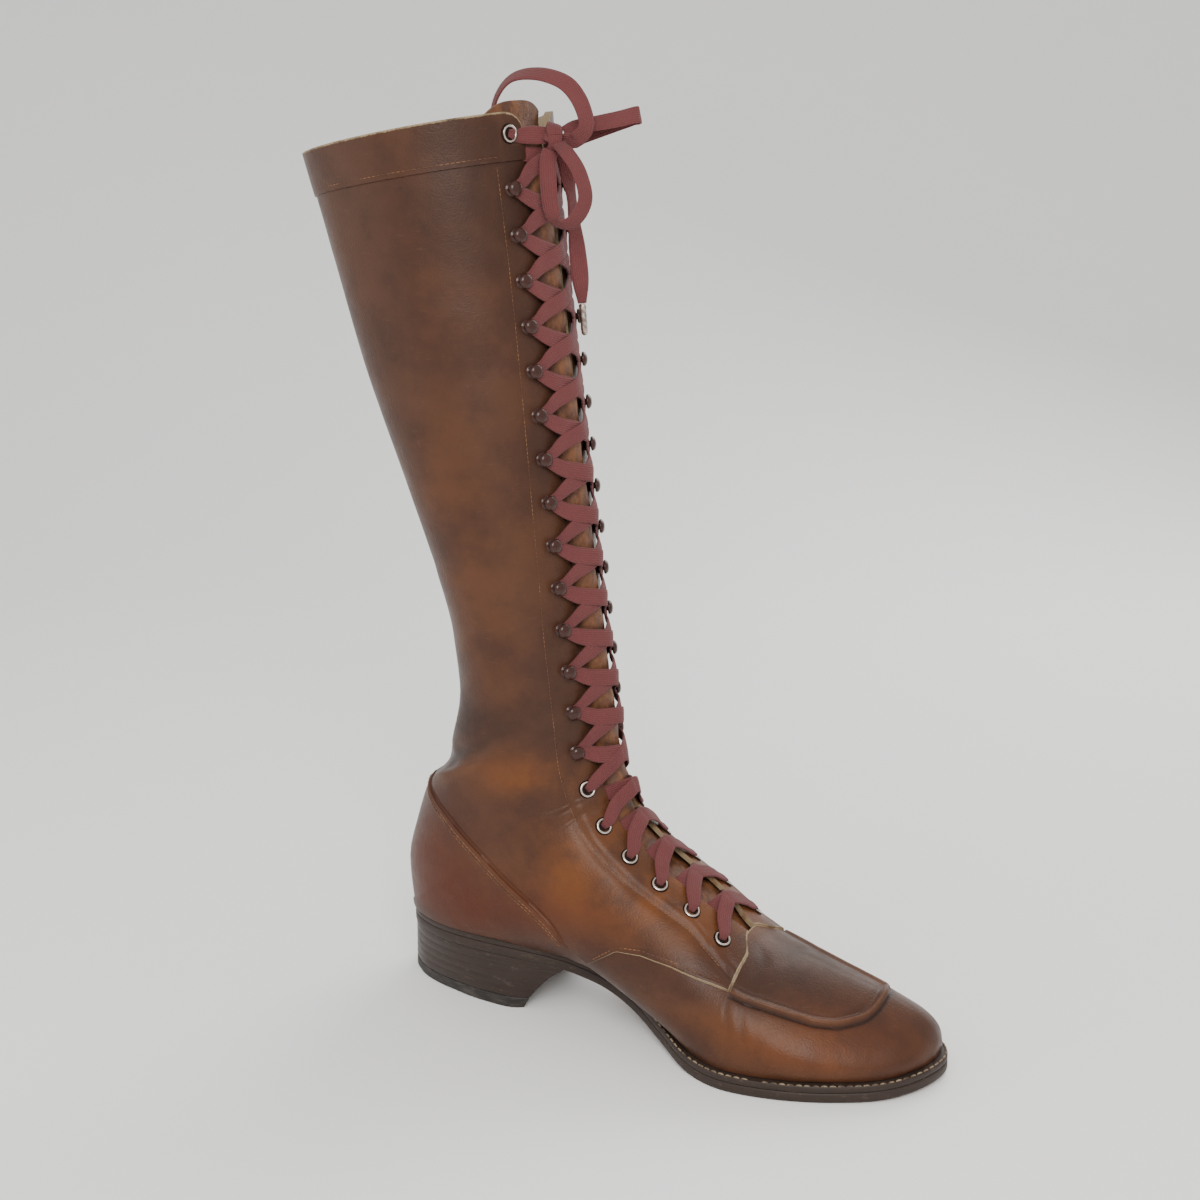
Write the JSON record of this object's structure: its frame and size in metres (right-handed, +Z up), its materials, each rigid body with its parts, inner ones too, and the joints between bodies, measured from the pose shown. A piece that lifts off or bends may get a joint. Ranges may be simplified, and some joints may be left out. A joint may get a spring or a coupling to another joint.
{
  "type": "lace-up knee boot",
  "caption": "Tall right-foot leather boot, laced up the front through eyelets and hooks, with a stacked heel and a raised apron toe.",
  "frame": {"origin": "on the floor under the middle of the heel", "axes": "+X to the toe, +Y to the foot's inner side, +Z up"},
  "size_m": [0.3012, 0.1038, 0.4263],
  "materials": {
    "upper_leather": "waxed and worn",
    "tongue_leather": "matt",
    "insole_leather": "matt, worn",
    "welt_leather": "satin",
    "sole_leather": "satin, scuffed",
    "stacked_leather": "satin, scuffed",
    "top_lift_rubber": "matt",
    "lace_cotton": "woven",
    "worn_nickel": "worn",
    "brown_enamel": "gloss",
    "tip_metal": "worn"
  },
  "bodies": {
    "root": {"upper": "upper_leather", "tongue": "tongue_leather", "insole": "insole_leather", "welt": "welt_leather", "outsole": "sole_leather", "heel_stack": "stacked_leather", "heel_top_lift": "top_lift_rubber", "lace_crossings": "lace_cotton", "lace_knot": "lace_cotton", "lace_loop_hanging": "lace_cotton", "lace_loop_flat": "lace_cotton", "lace_end_back": "lace_cotton", "lace_end_hanging": "lace_cotton", "lace_tip_back": "tip_metal", "lace_tip_hanging": "tip_metal", "eyelet_outer_1": "worn_nickel", "eyelet_outer_2": "worn_nickel", "eyelet_outer_3": "worn_nickel", "eyelet_outer_4": "worn_nickel", "eyelet_outer_5": "worn_nickel", "eyelet_outer_6": "worn_nickel", "eyelet_outer_top": "worn_nickel", "eyelet_inner_1": "worn_nickel", "eyelet_inner_2": "worn_nickel", "eyelet_inner_3": "worn_nickel", "eyelet_inner_4": "worn_nickel", "eyelet_inner_5": "worn_nickel", "eyelet_inner_6": "worn_nickel", "eyelet_inner_top": "worn_nickel", "hook_outer_1": "brown_enamel", "hook_outer_2": "brown_enamel", "hook_outer_3": "brown_enamel", "hook_outer_4": "brown_enamel", "hook_outer_5": "brown_enamel", "hook_outer_6": "brown_enamel", "hook_outer_7": "brown_enamel", "hook_outer_8": "brown_enamel", "hook_outer_9": "brown_enamel", "hook_outer_10": "brown_enamel", "hook_outer_11": "brown_enamel", "hook_outer_12": "brown_enamel", "hook_outer_13": "brown_enamel", "hook_outer_14": "brown_enamel", "hook_inner_1": "brown_enamel", "hook_inner_2": "brown_enamel", "hook_inner_3": "brown_enamel", "hook_inner_4": "brown_enamel", "hook_inner_5": "brown_enamel", "hook_inner_6": "brown_enamel", "hook_inner_7": "brown_enamel", "hook_inner_8": "brown_enamel", "hook_inner_9": "brown_enamel", "hook_inner_10": "brown_enamel", "hook_inner_11": "brown_enamel", "hook_inner_12": "brown_enamel", "hook_inner_13": "brown_enamel", "hook_inner_14": "brown_enamel"}
  },
  "joints": []
}
